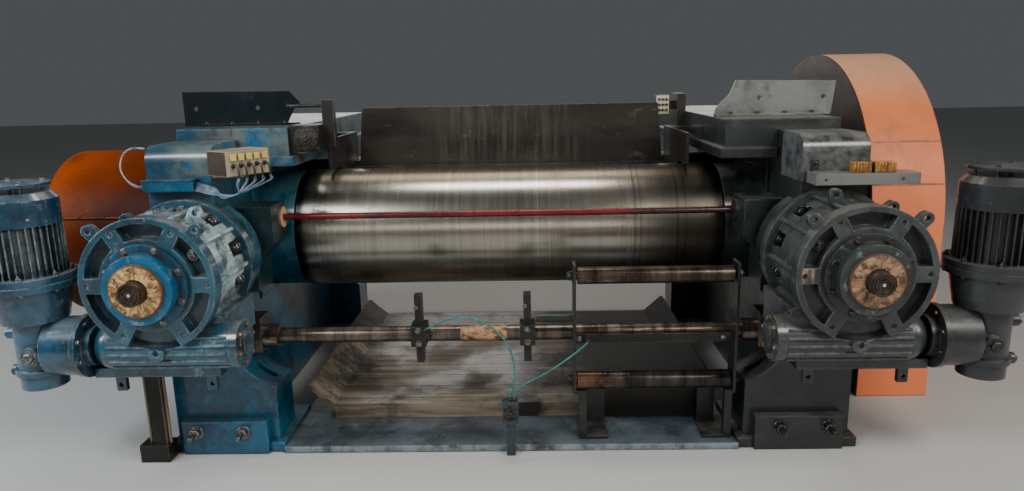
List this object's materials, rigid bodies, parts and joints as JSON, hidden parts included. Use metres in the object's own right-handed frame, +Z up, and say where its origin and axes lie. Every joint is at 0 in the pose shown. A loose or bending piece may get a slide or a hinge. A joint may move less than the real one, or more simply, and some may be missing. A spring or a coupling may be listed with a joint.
{
  "type": "two-roll mill stand",
  "caption": "Open two-roll mixing mill: cast side frames, ground rolls, worm-geared nip adjusters with motors, gear guards, safety bar and take-off rollers.",
  "frame": {"origin": "on the floor, midway between the two side frames, below the nip", "axes": "+X along the rolls to the right seen from the operator's side, +Y to the back, +Z up"},
  "size_m": [4.41, 2.747, 1.7498],
  "materials": {
    "frame_blue": "chipped greasy gloss paint",
    "frame_dark": "greasy dark paint",
    "roll_steel": "ground and worn",
    "dark_steel": "oily",
    "motor_blue": "greasy gloss paint",
    "motor_dark": "greasy dark paint",
    "guard_orange": "gloss paint",
    "guard_salmon": "faded paint",
    "bracket_navy": "satin",
    "bracket_grey": "satin",
    "stock_steel": "grimy",
    "safety_red": "gloss paint",
    "rusty_steel": "rust-stained",
    "cheek_green": "greasy paint",
    "bed_steel": "oily worn paint",
    "pan_boards": "oily",
    "lubricator_cream": "soiled",
    "shelf_grey": "satin",
    "valve_blue": "satin",
    "hose_green": "air hose, soiled"
  },
  "bodies": {
    "root": {"bedplate": "bed_steel", "left_frame": "frame_blue", "right_frame": "frame_dark", "left_cap": "frame_blue", "right_cap": "frame_dark", "left_rear_housing": "frame_blue", "right_rear_housing": "frame_dark", "left_adjuster": "frame_blue", "right_adjuster": "frame_dark", "left_bearing_cover": "frame_blue", "right_bearing_cover": "frame_dark", "left_gearbox": "motor_blue", "right_gearbox": "motor_dark", "left_motor": "motor_blue", "right_motor": "motor_dark", "left_gear_guard": "guard_orange", "right_gear_guard": "guard_salmon", "left_foot_plate": "frame_blue", "right_foot_plate": "frame_dark", "left_top_bracket": "bracket_navy", "right_top_bracket": "bracket_grey", "stock_plate": "stock_steel", "left_stock_guide": "dark_steel", "right_stock_guide": "dark_steel", "safety_bar": "safety_red", "left_bar_bracket": "cheek_green", "right_bar_bracket": "frame_dark", "knife_bar": "rusty_steel", "knife_clamps": "dark_steel", "left_cheek": "cheek_green", "right_cheek": "cheek_green", "takeoff_tie_bar": "dark_steel", "drip_pan": "pan_boards", "support_post": "dark_steel", "lubricator": "lubricator_cream", "lamp_shelf": "shelf_grey", "valve_post": "valve_blue", "clamp_hose": "hose_green", "cheek_hose": "hose_green"},
    "front_carriage": {"left_front_housing": "frame_blue", "right_front_housing": "frame_dark", "left_adjusting_screw": "dark_steel", "right_adjusting_screw": "dark_steel"},
    "front_roll": {"front_roll": "roll_steel"},
    "rear_roll": {"rear_roll": "roll_steel"},
    "upper_takeoff_roller": {"upper_takeoff_roller": "rusty_steel"},
    "lower_takeoff_roller": {"lower_takeoff_roller": "rusty_steel"}
  },
  "joints": [
    {"name": "nip_opening", "type": "slide", "parent": "root", "child": "front_carriage", "axis": [0, -1, 0], "range_m": [0, 0.025]},
    {"name": "front_roll_spin", "type": "hinge", "parent": "front_carriage", "child": "front_roll", "pos_m": [0, -0.308, 0.9], "axis": [1, 0, 0], "continuous": true},
    {"name": "rear_roll_spin", "type": "hinge", "parent": "root", "child": "rear_roll", "pos_m": [0, 0.308, 0.9], "axis": [1, 0, 0], "continuous": true},
    {"name": "upper_roller_spin", "type": "hinge", "parent": "root", "child": "upper_takeoff_roller", "pos_m": [0, -1.02, 0.8], "axis": [1, 0, 0], "continuous": true},
    {"name": "lower_roller_spin", "type": "hinge", "parent": "root", "child": "lower_takeoff_roller", "pos_m": [0, -1.02, 0.31], "axis": [1, 0, 0], "continuous": true}
  ],
  "couplings": [
    {"joint": "rear_roll_spin", "follows": "front_roll_spin", "ratio": -1.1}
  ]
}
